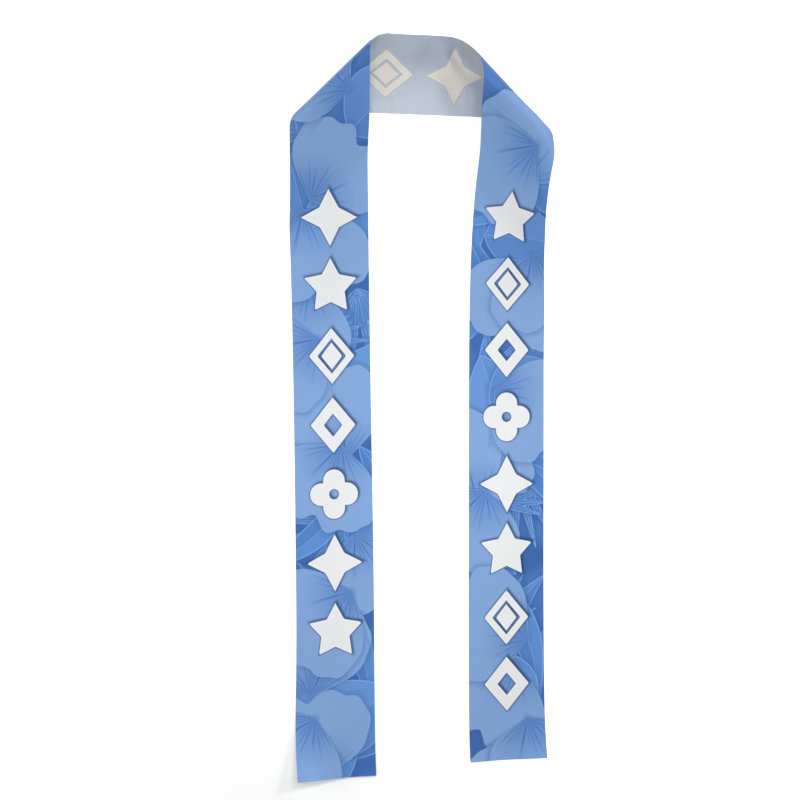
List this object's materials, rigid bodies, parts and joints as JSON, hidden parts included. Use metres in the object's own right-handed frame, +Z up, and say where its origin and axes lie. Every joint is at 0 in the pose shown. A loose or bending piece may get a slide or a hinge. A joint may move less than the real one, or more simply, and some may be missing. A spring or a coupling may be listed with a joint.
{
  "type": "satin stole",
  "caption": "Long narrow satin stole laid flat: a face-down neck band turns over in rolled folds into face-up tails with a tonal leaf print and plain white marks.",
  "frame": {"origin": "on the floor under the middle of the laid-out stole", "axes": "+X along the neck band from the left tail to the right, +Y from the tails' ends to the neck band, +Z up from the floor"},
  "size_m": [0.3266, 0.8598, 0.0449],
  "materials": {
    "printed_satin": "tone on tone blue print on satin, with a pale blue-grey reverse"
  },
  "bodies": {
    "root": {"stole": "printed_satin"}
  },
  "joints": []
}
